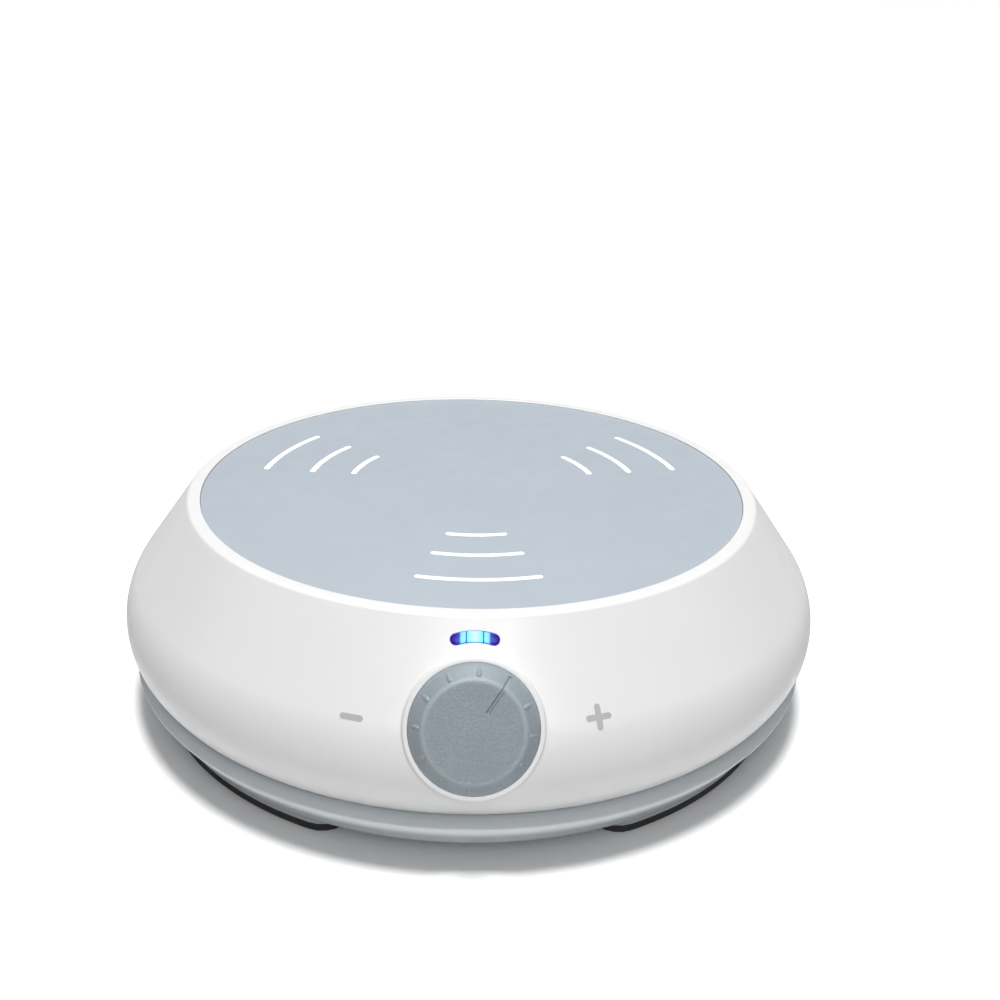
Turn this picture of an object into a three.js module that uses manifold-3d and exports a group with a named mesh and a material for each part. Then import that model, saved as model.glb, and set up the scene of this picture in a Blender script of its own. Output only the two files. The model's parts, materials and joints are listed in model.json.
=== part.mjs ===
// Compact magnetic stirrer: a white round shell with a stir plate in its top, a grey base tray on
// four crescent feet, one speed knob, a lit window, and the motor that spins two magnets under the plate.
// Millimetres, +Z up. Pieces are built with z = 0 on the bench; the exported group is then lowered, so that
// its origin is the centre of the stir plate's top face, on the spin axis. The knob is at the front, on -Y.
import * as THREE from "three";
import { mergeVertices } from "three/addons/utils/BufferGeometryUtils.js";
import Module from "manifold-3d";

const wasm = await Module();
wasm.setup();

// ---- Driving dimensions ----------------------------------------------------------------------------

const BODY_R = 80; // widest radius of the shell
const RIM_R = 65; // outer edge of the flat rim
const RIM_TOP = 48; // height of the rim above the bench
const WIDEST_Z = 21.5; // height where the shell is widest
const FLANK_TILT = deg(35.7); // how far the flank leans from vertical
const SHOULDER_R = 17; // arc from the flank to the widest point
const BELLY_R = 13.3; // arc from the widest point down to the seam
const SEAM_Z = 10.8; // where the shell ends and the base tray begins
const WALL = 2.2; // thickness of the mouldings
const RIM_LIP = 1.2; // height of the rim's rounded outer edge

const PLATE_R = 62;
const PLATE_T = 2;
const PLATE_SINK = 0.3; // how far the plate's top lies below the rim
const PLATE_TOP = RIM_TOP - PLATE_SINK;
const ADHESIVE_T = 0.3;
const DECK_T = 1.8; // shell floor under the plate
const DECK_TOP = PLATE_TOP - PLATE_T - ADHESIVE_T - 0.1;
const DECK_UNDER = DECK_TOP - DECK_T;

const TRAY_EDGE_R = 78.7; // outermost edge of the tray's flange
const TRAY_EDGE_Z = 10.3;
const TRAY_FOOT_R = 73.7; // outer radius of the tray's underside
const TRAY_UNDER = 3.5;
const TRAY_FLOOR = 5.5;
const TONGUE_T = 1.6; // the tray's tongue stands up inside the shell's edge
const TONGUE_RISE = 2.6;

const FOOT_MID_R = 67.2;
const FOOT_W = 11.4;
const FOOT_HALF_ANGLE = deg(19);
const FOOT_ANGLES = [45, 135, 225, 315].map(deg);
const FOOT_BOSS_Z = 1.7; // underside of the boss that holds a pad
const SPIGOT_W = 7.6; // narrower top of a pad, sunk in the boss
const SPIGOT_H = 1;

const KNOB_R = 12;
const KNOB_EDGE_R = 11.6; // the knob's side narrows to this at the bevel
const KNOB_FACE_R = 9.35; // flat of the face, inside the bevel
const KNOB_ELEVATION = deg(26); // the knob's axis points outwards and up by this much
const KNOB_AT = new THREE.Vector3(0, -76.8, 31.4); // centre of the collar's plane
const KNOB_RISE = 5.3; // from the collar's plane to the knob's face
const COLLAR_R = 13;
const COLLAR_TOP = 0.6;
const POCKET_R = 12.2;
const POCKET_FLOOR = -4.5;
const POINTER_ANGLE = deg(34); // clockwise from the top, as the knob is left at rest

const WINDOW_AT = new THREE.Vector3(0, -67.4, 44.6);
const WINDOW_MID_R = 12; // the window is a bar bent to this radius
const WINDOW_W = 1.9;
const WINDOW_HALF_ANGLE = deg(16.5);
const WINDOW_DEPTH = 6;

const SHAFT_R = 1.5;
const MOTOR_R = 17;
const MOTOR_Z = 12.1;
const MOTOR_TOP = 30;
const CARRIER_Z = 34;
const CARRIER_TOP = 41;
const MAGNET_R = 6;
const MAGNET_MID_R = 16; // distance of each magnet from the spin axis

const POST_MID_R = 56; // screw posts between shell and tray
const SCREW_R = 1.4;
const BRACKET_Z = 10.6;
const BRACKET_T = 1.4;
const BRACKET_POST_R = 26;
const BRACKET_ANGLES = [30, 150, 270].map(deg);

const BOARD = { halfX: 18, y0: 34, y1: 65, z: 9.6, t: 1.6 };
const BOARD_SCREW_X = 15;
const BOARD_SCREW_Y = [37.5, 59];
const JACK_Z = 18.4;
const JACK_FACE_Y = 67; // end of the socket's block; its barrel runs on through the shell
const JACK_BARREL = 11.8;

const GAP = 0.05; // between pieces that rest on each other
const RUNNING_FIT = 0.06; // radial clearance between a shaft and its bore
const ROUND = 60; // facets round the body
const SMALL_ROUND = 24; // facets round small pieces

// ---- Materials ---------------------------------------------------------------------------------------

const paint = (color, roughness, metalness = 0) =>
  new THREE.MeshStandardMaterial({ color, roughness, metalness });

const WHITE_ABS = paint(0xeeeeec, 0.42);
const GREY_ABS = paint(0x979c9f, 0.5);
const PLATE_COAT = paint(0xb9c3cd, 0.45);
const KNOB_PLASTIC = paint(0x8f99a2, 0.6);
const BLACK_RUBBER = paint(0x17181a, 0.85);
const LIGHT_PIPE = paint(0x4fd6ff, 0.15);
const STEEL = paint(0xb6b9bd, 0.35, 0.9);
const DARK_STEEL = paint(0x5b5e62, 0.5, 0.85);
const COPPER = paint(0xb4693a, 0.4, 0.8);
const NICKEL = paint(0xc9cbce, 0.25, 0.95);
const BLACK_PLASTIC = paint(0x202225, 0.5);
const BOARD_GREEN = paint(0x1f6b45, 0.45);
const ALUMINIUM = paint(0xc3c7ca, 0.4, 0.85);
const ADHESIVE = paint(0x8a8d90, 0.8);
const LAMP = paint(0xf4f1d8, 0.3);

// ---- Small geometry tools ------------------------------------------------------------------------------

function deg(angle) {
  return THREE.MathUtils.degToRad(angle);
}

function polar(radius, angle) {
  return new THREE.Vector2(radius * Math.cos(angle), radius * Math.sin(angle));
}

/** Points of an arc in a profile, both ends included; angles are measured from +r towards +z. */
function arc(centreR, centreZ, radius, from, to, steps) {
  return Array.from({ length: steps + 1 }, (_, i) => {
    const angle = from + ((to - from) * i) / steps;
    return [centreR + radius * Math.cos(angle), centreZ + radius * Math.sin(angle)];
  });
}

/** Solid of revolution about Z from [radius, height] pairs that run anticlockwise round the section. */
function revolve(profile, segments = SMALL_ROUND) {
  const points = profile.map(([r, z]) => new THREE.Vector2(r, z));
  return new THREE.LatheGeometry(points, segments).rotateX(Math.PI / 2);
}

/** Ring with a rectangular section. */
function ring(inner, outer, z0, z1, segments = SMALL_ROUND) {
  return revolve([[inner, z0], [outer, z0], [outer, z1], [inner, z1], [inner, z0]], segments);
}

function rod(radius, z0, z1, segments = SMALL_ROUND) {
  return new THREE.CylinderGeometry(radius, radius, z1 - z0, segments)
    .rotateX(Math.PI / 2)
    .translate(0, 0, (z0 + z1) / 2);
}

function block(width, depth, height, x, y, z) {
  return new THREE.BoxGeometry(width, depth, height).translate(x, y, z + height / 2);
}

function extrude(shape, z0, z1, curveSegments = 4) {
  return new THREE.ExtrudeGeometry(shape, { depth: z1 - z0, bevelEnabled: false, curveSegments })
    .translate(0, 0, z0);
}

/** Outline of a bar bent round the origin, with rounded ends. */
function bentBar(midRadius, width, halfAngle, middle) {
  const [start, end] = [middle - halfAngle, middle + halfAngle];
  const [startAt, endAt] = [polar(midRadius, start), polar(midRadius, end)];
  const shape = new THREE.Shape();
  shape.absarc(0, 0, midRadius + width / 2, start, end, false);
  shape.absarc(endAt.x, endAt.y, width / 2, end, end + Math.PI, false);
  shape.absarc(0, 0, midRadius - width / 2, end, start, true);
  shape.absarc(startAt.x, startAt.y, width / 2, start + Math.PI, start + 2 * Math.PI, false);
  return shape;
}

/** A closed geometry as a manifold-3d solid. */
function solid(geometry) {
  const bare = geometry.clone();
  bare.deleteAttribute("normal");
  bare.deleteAttribute("uv");
  const merged = mergeVertices(bare, 1e-4);
  const triVerts = [];
  const index = merged.index.array;
  for (let i = 0; i < index.length; i += 3) {
    const [a, b, c] = index.slice(i, i + 3);
    if (a !== b && b !== c && c !== a) triVerts.push(a, b, c);
  }
  return new wasm.Manifold(
    new wasm.Mesh({
      numProp: 3,
      vertProperties: merged.attributes.position.array,
      triVerts: new Uint32Array(triVerts),
    }),
  );
}

/** A manifold-3d solid as a geometry with flat faces. */
function geometryOf(body) {
  const { vertProperties, triVerts } = body.getMesh();
  const indexed = new THREE.BufferGeometry();
  indexed.setAttribute("position", new THREE.BufferAttribute(vertProperties, 3));
  indexed.setIndex(new THREE.BufferAttribute(triVerts, 1));
  const geometry = indexed.toNonIndexed();
  geometry.computeVertexNormals();
  return geometry;
}

/** Joins the added geometries to the first and then cuts the others away. */
function combine(first, added, cut = []) {
  const joined = added.reduce((body, geometry) => body.add(solid(geometry)), solid(first));
  return geometryOf(cut.reduce((body, geometry) => body.subtract(solid(geometry)), joined));
}

function piece(name, geometry, material, parent) {
  const mesh = new THREE.Mesh(geometry, material);
  mesh.name = name;
  parent.add(mesh);
  return mesh;
}

/** A round cable through the given points. */
function cable(points, radius) {
  const path = new THREE.CatmullRomCurve3(points.map((p) => new THREE.Vector3(...p)));
  const section = new THREE.Shape();
  section.absarc(0, 0, radius, 0, 2 * Math.PI, false);
  return new THREE.ExtrudeGeometry(section, { steps: 10, curveSegments: 3, extrudePath: path });
}

/** A screw along Z: its head's underside is at z = 0 and its shank runs to z = length. */
function screw(headRadius, headHeight, shankRadius, length, crossed = false) {
  const body = revolve([
    [0, -headHeight],
    [headRadius * 0.85, -headHeight],
    [headRadius, -headHeight * 0.6],
    [headRadius, 0],
    [shankRadius, 0],
    [shankRadius, length - shankRadius],
    [0, length],
  ], 10);
  if (!crossed) return body;
  const [slotW, slotL] = [headRadius * 0.28, headRadius * 1.2];
  const bars = [[slotL, slotW], [slotW, slotL]].map(([w, l]) =>
    block(w, l, headHeight, 0, 0, -1.5 * headHeight));
  return combine(body, [], bars);
}

// ---- Frames that pieces are placed in -------------------------------------------------------------------

const stirrer = new THREE.Group();
stirrer.position.z = -PLATE_TOP;

/** Its z axis is the knob's axis, pointing out of the body, and its y axis points up along the face. */
const knobFrame = new THREE.Group();
knobFrame.position.copy(KNOB_AT);
knobFrame.rotation.x = Math.PI / 2 - KNOB_ELEVATION;

/** Its z axis is the flank's outward normal at the lit window. */
const windowFrame = new THREE.Group();
windowFrame.position.copy(WINDOW_AT);
windowFrame.rotation.x = Math.PI / 2 - FLANK_TILT;

stirrer.add(knobFrame, windowFrame);
for (const group of [knobFrame, windowFrame]) group.updateMatrix();

const inFrame = (geometry, frame) => geometry.clone().applyMatrix4(frame.matrix);

// ---- Casing ----------------------------------------------------------------------------------------------

/** The shell's section from the seam up to the rim, moved inwards by an offset. */
function shellSection(inset, bottom, top, steps = 3) {
  const shoulderCentre = BODY_R - SHOULDER_R;
  const bellyCentre = BODY_R - BELLY_R;
  const bellyStart = Math.asin((bottom - WIDEST_Z) / (BELLY_R - inset));
  const belly = arc(bellyCentre, WIDEST_Z, BELLY_R - inset, bellyStart, 0, steps);
  const shoulder = arc(shoulderCentre, WIDEST_Z, SHOULDER_R - inset, 0, FLANK_TILT, steps).slice(1);
  const [flankR, flankZ] = shoulder.at(-1);
  const flankTop = [flankR - (top - flankZ) * Math.tan(FLANK_TILT), top];
  return [...belly, ...shoulder, flankTop];
}

function upperShell() {
  const lipZ = RIM_TOP - RIM_LIP;
  const outer = shellSection(0, SEAM_Z, lipZ);
  const inner = shellSection(WALL, SEAM_Z, DECK_UNDER - 1, 2).reverse();
  const [innerTopR] = inner[0];
  const seatR = PLATE_R + 0.15;
  const profile = [
    [0, DECK_UNDER],
    [innerTopR - 2, DECK_UNDER],
    ...inner,
    ...outer,
    [RIM_R + 0.35, RIM_TOP - 0.3],
    [RIM_R - 0.4, RIM_TOP],
    [seatR, RIM_TOP],
    [seatR, DECK_TOP],
    [0, DECK_TOP],
  ];
  const posts = FOOT_ANGLES.map((angle) => {
    const { x, y } = polar(POST_MID_R, angle);
    return rod(3.6, 8.6, DECK_UNDER + 0.5, 14).translate(x, y, 0);
  });
  const postHoles = FOOT_ANGLES.map((angle) => {
    const { x, y } = polar(POST_MID_R, angle);
    return rod(SCREW_R + 0.1, 8, 24, 12).translate(x, y, 0);
  });
  const collar = inFrame(rod(COLLAR_R, POCKET_FLOOR - 2, COLLAR_TOP, 40), knobFrame);
  const pocket = inFrame(rod(POCKET_R, POCKET_FLOOR, 25, 40), knobFrame);
  const bushingHole = inFrame(rod(3.7, POCKET_FLOOR - 6, 1, 20), knobFrame);
  const lampBlock = inFrame(block(13, 5.4, 7, 0, -0.6, -WINDOW_DEPTH - 0.6), windowFrame);
  const lampSlot = inFrame(lowered(extrude(windowShape(WINDOW_W + 0.2), -20, 5, 6)), windowFrame);
  const jackHole = rod(4.4, 0, 14, 20).rotateX(-Math.PI / 2).translate(0, 70, JACK_Z);
  const envelope = revolve([[0, SEAM_Z], ...outer, [0, lipZ]], ROUND);
  const blockInside = geometryOf(solid(lampBlock).intersect(solid(envelope)));
  return combine(
    revolve(profile, ROUND),
    [...posts, collar, blockInside],
    [...postHoles, pocket, bushingHole, lampSlot, jackHole],
  );
}

function windowShape(width) {
  return bentBar(WINDOW_MID_R, width, WINDOW_HALF_ANGLE, Math.PI / 2);
}

/** Moves a bent bar down by its own radius, so that the middle of the window is its frame's origin. */
function lowered(geometry) {
  return geometry.translate(0, -WINDOW_MID_R, 0);
}

function trayProfile() {
  const tongueR = shellSection(WALL, SEAM_Z, DECK_UNDER)[0][0] - 0.3;
  const flangeTop = SEAM_Z - GAP;
  return [
    [0, TRAY_UNDER],
    [TRAY_FOOT_R - 0.6, TRAY_UNDER],
    [TRAY_FOOT_R, TRAY_UNDER + 0.4],
    [TRAY_EDGE_R - 0.1, TRAY_EDGE_Z - 0.4],
    [TRAY_EDGE_R, TRAY_EDGE_Z],
    [TRAY_EDGE_R - 0.4, TRAY_EDGE_Z + 0.2],
    [TRAY_EDGE_R - 4.6, flangeTop],
    [tongueR, flangeTop],
    [tongueR, flangeTop + TONGUE_RISE],
    [tongueR - TONGUE_T, flangeTop + TONGUE_RISE],
    [tongueR - TONGUE_T, TRAY_FLOOR + 1.5],
    [tongueR - TONGUE_T - 1.5, TRAY_FLOOR],
    [0, TRAY_FLOOR],
  ];
}

function baseTray() {
  const bosses = FOOT_ANGLES.map((angle) =>
    extrude(bentBar(FOOT_MID_R, FOOT_W, FOOT_HALF_ANGLE, angle), FOOT_BOSS_Z, TRAY_UNDER + 1));
  const padSeats = FOOT_ANGLES.map((angle) =>
    extrude(bentBar(FOOT_MID_R, SPIGOT_W + 0.3, FOOT_HALF_ANGLE, angle), 0, FOOT_BOSS_Z + SPIGOT_H));
  const turrets = FOOT_ANGLES.map((angle) => {
    const { x, y } = polar(POST_MID_R, angle);
    return rod(4.6, TRAY_FLOOR - 1, 8.5, 14).translate(x, y, 0);
  });
  const screwWays = FOOT_ANGLES.flatMap((angle) => {
    const { x, y } = polar(POST_MID_R, angle);
    return [rod(3.1, 0, 6.2, 14), rod(1.7, 0, 12, 12)].map((g) => g.translate(x, y, 0));
  });
  const bracketPosts = BRACKET_ANGLES.map((angle) => {
    const { x, y } = polar(BRACKET_POST_R, angle);
    return rod(3.4, TRAY_FLOOR - 1, BRACKET_Z - 1.4, 14).translate(x, y, 0);
  });
  const bracketHoles = BRACKET_ANGLES.map((angle) => {
    const { x, y } = polar(BRACKET_POST_R, angle);
    return rod(1.2, TRAY_FLOOR, BRACKET_Z, 10).translate(x, y, 0);
  });
  const boardPosts = boardScrewPlaces().map(([x, y]) =>
    rod(2.6, TRAY_FLOOR - 1, BOARD.z - GAP, 12).translate(x, y, 0));
  const boardHoles = boardScrewPlaces().map(([x, y]) =>
    rod(0.9, TRAY_FLOOR, BOARD.z, 8).translate(x, y, 0));
  return combine(
    revolve(trayProfile(), ROUND),
    [...bosses, ...turrets, ...bracketPosts, ...boardPosts],
    [...padSeats, ...screwWays, ...bracketHoles, ...boardHoles],
  );
}

function boardScrewPlaces() {
  return BOARD_SCREW_Y.flatMap((y) => [-BOARD_SCREW_X, BOARD_SCREW_X].map((x) => [x, y]));
}

function stirPlate() {
  const bottom = PLATE_TOP - PLATE_T;
  const edge = 0.4;
  return revolve(
    [[0, bottom], [PLATE_R, bottom], [PLATE_R, PLATE_TOP - edge], [PLATE_R - edge, PLATE_TOP], [0, PLATE_TOP]],
    ROUND,
  );
}

piece("upper_shell", upperShell(), WHITE_ABS, stirrer);
piece("stir_plate", stirPlate(), PLATE_COAT, stirrer);
piece("plate_adhesive", ring(50, 58, DECK_TOP + GAP, DECK_TOP + GAP + ADHESIVE_T, 32), ADHESIVE, stirrer);
piece("base_tray", baseTray(), GREY_ABS, stirrer);

function footPad(angle) {
  const tread = extrude(bentBar(FOOT_MID_R, FOOT_W, FOOT_HALF_ANGLE, angle), 0, FOOT_BOSS_Z - GAP);
  const spigotTop = FOOT_BOSS_Z + SPIGOT_H - GAP;
  return combine(tread, [extrude(bentBar(FOOT_MID_R, SPIGOT_W, FOOT_HALF_ANGLE, angle), 0.5, spigotTop)]);
}

FOOT_ANGLES.forEach((angle, i) => {
  piece(`foot_pad_${i + 1}`, footPad(angle), BLACK_RUBBER, stirrer);
  const { x, y } = polar(POST_MID_R, angle);
  piece(`base_screw_${i + 1}`, screw(2.9, 2, SCREW_R, 14, true).translate(x, y, 6.15), STEEL, stirrer);
});

// ---- Motor ------------------------------------------------------------------------------------------------

const HUB_R = 5.4; // housings that hold the bearings
const BEARING_R = 4;
const BEARING_H = 3;
const CAN_T = 1.2;
const CORE = { z0: 18, z1: 25, outer: 15.6, inner: 13, tooth: 9.3, toothW: 2.6, teeth: 6 };

function motorBracket() {
  const ears = BRACKET_ANGLES.map((angle) => {
    const { x, y } = polar(BRACKET_POST_R, angle);
    return rod(5, BRACKET_Z, BRACKET_Z + BRACKET_T, 16).translate(x, y, 0);
  });
  const arms = BRACKET_ANGLES.map((angle) => {
    const arm = new THREE.BoxGeometry(BRACKET_POST_R, 10, BRACKET_T);
    arm.translate(BRACKET_POST_R / 2, 0, BRACKET_Z + BRACKET_T / 2);
    return arm.rotateZ(angle);
  });
  const earHoles = BRACKET_ANGLES.map((angle) => {
    const { x, y } = polar(BRACKET_POST_R, angle);
    return rod(2.5, 0, 20, 14).translate(x, y, 0);
  });
  const disc = rod(MOTOR_R + 2, BRACKET_Z, BRACKET_Z + BRACKET_T, 30);
  return combine(disc, [...ears, ...arms], [...earHoles, rod(6, 0, 20, 24)]);
}

/** Rubber grommet with a waist that the bracket's ear sits in. */
function grommet() {
  const [bottom, top] = [BRACKET_Z - 1.3, BRACKET_Z + BRACKET_T + 1.3];
  const waist = 2.4;
  const profile = [
    [1.4, bottom],
    [4, bottom],
    [4, BRACKET_Z - GAP],
    [waist, BRACKET_Z - GAP],
    [waist, BRACKET_Z + BRACKET_T + GAP],
    [4, BRACKET_Z + BRACKET_T + GAP],
    [4, top],
    [1.4, top],
    [1.4, bottom],
  ];
  return revolve(profile, 14);
}

function motorCan() {
  const hubBottom = MOTOR_TOP - 4;
  return revolve([
    [MOTOR_R - CAN_T, MOTOR_Z],
    [MOTOR_R, MOTOR_Z],
    [MOTOR_R, MOTOR_TOP - 0.8],
    [MOTOR_R - 0.8, MOTOR_TOP],
    [HUB_R, MOTOR_TOP],
    [HUB_R, MOTOR_TOP + 1],
    [2.4, MOTOR_TOP + 1],
    [2.4, MOTOR_TOP],
    [BEARING_R + GAP, MOTOR_TOP],
    [BEARING_R + GAP, hubBottom],
    [HUB_R, hubBottom],
    [HUB_R, MOTOR_TOP - CAN_T],
    [MOTOR_R - CAN_T, MOTOR_TOP - CAN_T],
    [MOTOR_R - CAN_T, MOTOR_Z],
  ], 28);
}

function motorEndCap() {
  const r = MOTOR_R - CAN_T - 3 * GAP;
  return revolve([
    [2.4, MOTOR_Z],
    [r, MOTOR_Z],
    [r, MOTOR_Z + 1.6],
    [HUB_R, MOTOR_Z + 1.6],
    [HUB_R, MOTOR_Z + 4.4],
    [BEARING_R + GAP, MOTOR_Z + 4.4],
    [BEARING_R + GAP, MOTOR_Z + 1],
    [2.4, MOTOR_Z + 1],
    [2.4, MOTOR_Z],
  ], 24);
}

function stator() {
  const angles = Array.from({ length: CORE.teeth }, (_, i) => (2 * Math.PI * i) / CORE.teeth);
  const height = CORE.z1 - CORE.z0;
  const toothLength = CORE.inner + 0.6 - CORE.tooth;
  const tooth = (extra, angle) =>
    block(toothLength, CORE.toothW + 2 * extra, height + 2 * extra, CORE.tooth + toothLength / 2, 0,
      CORE.z0 - extra).rotateZ(angle);
  const core = combine(ring(CORE.inner, CORE.outer, CORE.z0, CORE.z1, 30), angles.map((a) => tooth(0, a)));
  const coils = angles.map((angle) =>
    block(2.3, 5.6, height + 3, 11.3, 0, CORE.z0 - 1.5).rotateZ(angle));
  const insulator = ring(10.4, 12.4, CORE.z1 + 0.6, CORE.z1 + 1.4, 24);
  const winding = combine(insulator, coils, angles.map((a) => tooth(0.2, a)));
  return { core, winding };
}

const { core, winding } = stator();
piece("motor_bracket", motorBracket(), STEEL, stirrer);
BRACKET_ANGLES.forEach((angle, i) => {
  const { x, y } = polar(BRACKET_POST_R, angle);
  piece(`bracket_grommet_${i + 1}`, grommet().translate(x, y, 0), BLACK_RUBBER, stirrer);
  const fixing = screw(2.6, 1.6, 1.1, 7.5).rotateX(Math.PI);
  fixing.translate(x, y, BRACKET_Z + BRACKET_T + 1.3 + GAP);
  piece(`bracket_screw_${i + 1}`, fixing, STEEL, stirrer);
});
piece("motor_can", motorCan(), DARK_STEEL, stirrer);
piece("motor_end_cap", motorEndCap(), BLACK_PLASTIC, stirrer);
piece("stator_core", core, STEEL, stirrer);
piece("stator_winding", winding, COPPER, stirrer);

const bearing = (z0) => ring(SHAFT_R + RUNNING_FIT, BEARING_R, z0, z0 + BEARING_H, 24);
piece("upper_bearing", bearing(MOTOR_TOP - BEARING_H - GAP), NICKEL, stirrer);
piece("lower_bearing", bearing(MOTOR_Z + 1 + GAP), NICKEL, stirrer);

// ---- Rotor: everything that spins --------------------------------------------------------------------------

function magnetCarrier() {
  const outline = new THREE.Shape();
  const endR = MAGNET_R + 1.8;
  outline.absarc(MAGNET_MID_R, 0, endR, -Math.PI / 2, Math.PI / 2, false);
  outline.absarc(-MAGNET_MID_R, 0, endR, Math.PI / 2, 1.5 * Math.PI, false);
  const bar = extrude(outline, CARRIER_Z, CARRIER_TOP, 8);
  const pockets = [-1, 1].map((side) =>
    rod(MAGNET_R + GAP, CARRIER_TOP - 5.1, CARRIER_TOP + 1, 28).translate(side * MAGNET_MID_R, 0, 0));
  const grubWay = rod(1.3, 0, 20, 16).rotateX(-Math.PI / 2).translate(0, 0, CARRIER_Z + 3);
  return combine(bar, [], [...pockets, rod(SHAFT_R + GAP, 0, 60, SMALL_ROUND), grubWay]);
}

piece("motor_shaft", rod(SHAFT_R, MOTOR_Z + 0.5, CARRIER_TOP - 0.6), STEEL, stirrer);
piece("rotor_magnet", ring(SHAFT_R + GAP, 8.7, CORE.z0 + 0.5, CORE.z1 - 0.5, 24), DARK_STEEL, stirrer);
piece("magnet_carrier", magnetCarrier(), ALUMINIUM, stirrer);
[-1, 1].forEach((side, i) => {
  const magnet = rod(MAGNET_R, CARRIER_TOP - 5, CARRIER_TOP, 28).translate(side * MAGNET_MID_R, 0, 0);
  piece(`drive_magnet_${i + 1}`, magnet, NICKEL, stirrer);
});
const grub = rod(1.2, SHAFT_R + 0.1, 7, 16).rotateX(-Math.PI / 2).translate(0, 0, CARRIER_Z + 3);
piece("carrier_screw", grub, DARK_STEEL, stirrer);

// ---- Speed knob and its potentiometer ------------------------------------------------------------------------

const KNOB_UNDER = POCKET_FLOOR + 0.8; // the skirt hangs clear of the pocket's floor
const KNOB_EDGE_Z = 2.5; // where the side ends and the bevel begins
const STEM_R = 3; // potentiometer shaft
const STEM_TOP = 2.6;

function knob() {
  const body = revolve([
    [0, STEM_TOP + 0.3],
    [STEM_R + GAP, STEM_TOP + 0.3],
    [STEM_R + GAP, 0.6],
    [5.2, 0.6],
    [5.2, 2.6],
    [10.6, 2.2],
    [10.6, KNOB_UNDER],
    [KNOB_R, KNOB_UNDER],
    [KNOB_R, COLLAR_TOP],
    [KNOB_EDGE_R, KNOB_EDGE_Z],
    [KNOB_EDGE_R - 0.4, KNOB_EDGE_Z + 0.8],
    [KNOB_FACE_R + 0.4, KNOB_RISE - 0.2],
    [KNOB_FACE_R, KNOB_RISE],
    [0, KNOB_RISE],
  ], 36);
  const groove = block(0.7, 7.6, 2, 0, 8, KNOB_RISE - 0.5).rotateZ(-POINTER_ANGLE);
  return combine(body, [], [groove]);
}

function potBody() {
  const back = POCKET_FLOOR - 2 - GAP;
  const can = rod(8.2, back - 7, back - 0.25, 32);
  const bushing = rod(3.5, back - 1, POCKET_FLOOR + 3, SMALL_ROUND);
  const lugs = block(10, 7, 1.4, 0, -9.5, back - 6);
  const bore = rod(STEM_R + RUNNING_FIT, back - 4, 10, SMALL_ROUND);
  return combine(can, [bushing, lugs], [bore]);
}

function hexNut(acrossFlats, hole, z0, z1) {
  const outer = rod(acrossFlats / 2 / Math.cos(Math.PI / 6), z0, z1, 6);
  return combine(outer, [], [rod(hole, z0 - 1, z1 + 1, 24)]);
}

piece("knob", knob(), KNOB_PLASTIC, knobFrame);
piece("pot_shaft", rod(STEM_R, POCKET_FLOOR - 5.5, STEM_TOP, SMALL_ROUND), ALUMINIUM, knobFrame);
piece("pot_body", potBody(), STEEL, knobFrame);
piece("pot_washer", ring(3.6, 5.6, POCKET_FLOOR + GAP, POCKET_FLOOR + 0.6, 24), STEEL, knobFrame);
piece("pot_nut", hexNut(9, 3.6, POCKET_FLOOR + 0.6 + GAP, POCKET_FLOOR + 2.6), NICKEL, knobFrame);

// ---- Lit window ------------------------------------------------------------------------------------------------

piece("led_window", lowered(extrude(windowShape(WINDOW_W), -WINDOW_DEPTH, 0.1, 6)), LIGHT_PIPE, windowFrame);
const LAMP_X = [-3, 0, 3];
LAMP_X.forEach((x, i) => {
  const lamp = block(1.6, 0.9, 0.6, x, -(x * x) / (2 * WINDOW_MID_R), -WINDOW_DEPTH - 1);
  piece(`led_${i + 1}`, lamp, LAMP, windowFrame);
});
piece("led_board", block(12, 5, 0.8, 0, -0.6, -WINDOW_DEPTH - 1.9), BOARD_GREEN, windowFrame);

// ---- Control board, power socket and cables ---------------------------------------------------------------------

const BOARD_TOP = BOARD.z + BOARD.t;

function controlBoard() {
  const length = BOARD.y1 - BOARD.y0;
  const sheet = block(2 * BOARD.halfX, length, BOARD.t, 0, BOARD.y0 + length / 2, BOARD.z);
  const holes = boardScrewPlaces().map(([x, y]) => rod(1.1, 0, 20, 16).translate(x, y, 0));
  return combine(sheet, [], holes);
}

function dcJack() {
  const depth = 14;
  const housing = block(9, depth, 11.6, 0, JACK_FACE_Y - depth / 2, BOARD_TOP + GAP);
  const barrel = rod(4.1, -1, JACK_BARREL, 20);
  const bore = rod(3, 0.5, JACK_BARREL + 1, 20);
  const facingBack = (g) => g.rotateX(-Math.PI / 2).translate(0, JACK_FACE_Y, JACK_Z);
  return combine(housing, [facingBack(barrel)], [facingBack(bore)]);
}

piece("control_board", controlBoard(), BOARD_GREEN, stirrer);
boardScrewPlaces().forEach(([x, y], i) => {
  const fixing = screw(1.9, 1.2, 0.8, 5.2).rotateX(Math.PI).translate(x, y, BOARD_TOP + GAP);
  piece(`board_screw_${i + 1}`, fixing, STEEL, stirrer);
});
piece("driver_chip", block(6, 6, 1.2, -8, 49, BOARD_TOP + GAP), BLACK_PLASTIC, stirrer);
piece("capacitor", rod(4, BOARD_TOP + GAP, BOARD_TOP + 10).translate(9, 50, 0), DARK_STEEL, stirrer);
piece("motor_connector", block(8, 5, 5, -8, 39, BOARD_TOP + GAP), BLACK_PLASTIC, stirrer);
piece("panel_connector", block(8, 5, 5, 7, 39, BOARD_TOP + GAP), BLACK_PLASTIC, stirrer);
piece("dc_jack", dcJack(), BLACK_PLASTIC, stirrer);
const jackPin = rod(1, 0.5 + GAP, JACK_BARREL - 1, 12).rotateX(-Math.PI / 2).translate(0, JACK_FACE_Y, JACK_Z);
piece("dc_jack_pin", jackPin, NICKEL, stirrer);

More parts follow.
